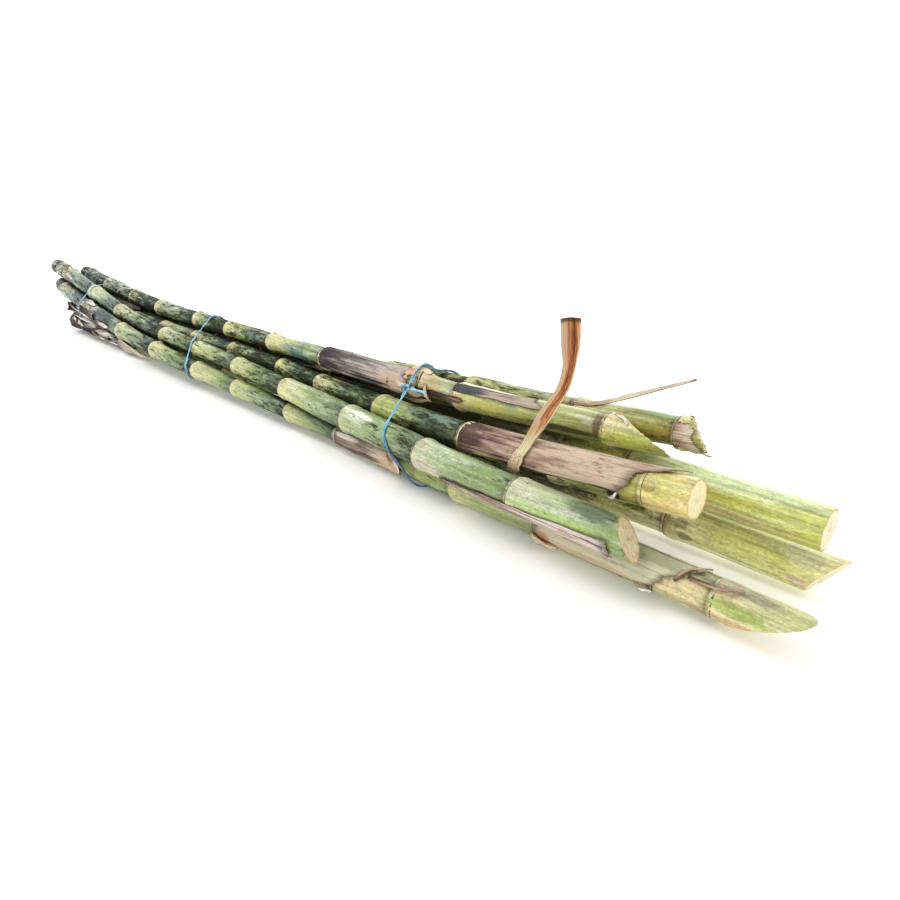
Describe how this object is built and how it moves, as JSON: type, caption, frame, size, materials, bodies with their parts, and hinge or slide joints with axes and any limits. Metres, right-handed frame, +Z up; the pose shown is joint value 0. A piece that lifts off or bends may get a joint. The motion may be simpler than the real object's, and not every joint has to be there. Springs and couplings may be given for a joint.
{
  "type": "tied bundle of sugarcane stalks",
  "caption": "Bundle of cut sugarcane stalks with leaf scar rings, dry leaf sheaths and machete-cut ends, lying flat and tied round with blue plastic twine",
  "frame": {"origin": "middle of the bounding box, at its lowest level, where the bundle lies on a surface", "axes": "+X along the stalks from the butts to the tops, +Y away from the side that the picture shows, +Z up"},
  "size_m": [1.8464, 0.2008, 0.2324],
  "materials": {
    "green_rind": "waxy, satin, yellow-green with dark speckles and cream root bands",
    "dry_sheath": "dry, matte, purple-brown with long veins",
    "dry_leaf": "dry, matte, orange-brown",
    "blue_twine": "slightly glossy twisted film",
    "thin_twine": "slightly glossy, dusty"
  },
  "bodies": {
    "root": {"cane_a": "green_rind", "cane_b": "green_rind", "cane_c": "green_rind", "cane_d": "green_rind", "cane_e": "green_rind", "cane_f": "green_rind", "cane_g": "green_rind", "sheath_a_mid": "dry_sheath", "sheath_a_top": "dry_sheath", "sheath_b_strip": "dry_sheath", "sheath_c": "dry_sheath", "sheath_f": "dry_sheath", "sheath_f_strip": "dry_sheath", "sheath_g_tip": "dry_sheath", "sheath_butt_d": "dry_sheath", "sheath_butt_e": "dry_sheath", "sheath_butt_a": "dry_sheath", "leaf_upright": "dry_leaf", "leaf_rib": "dry_leaf", "tie_near": "blue_twine", "tie_far": "blue_twine", "tie_butt": "thin_twine"}
  },
  "joints": []
}
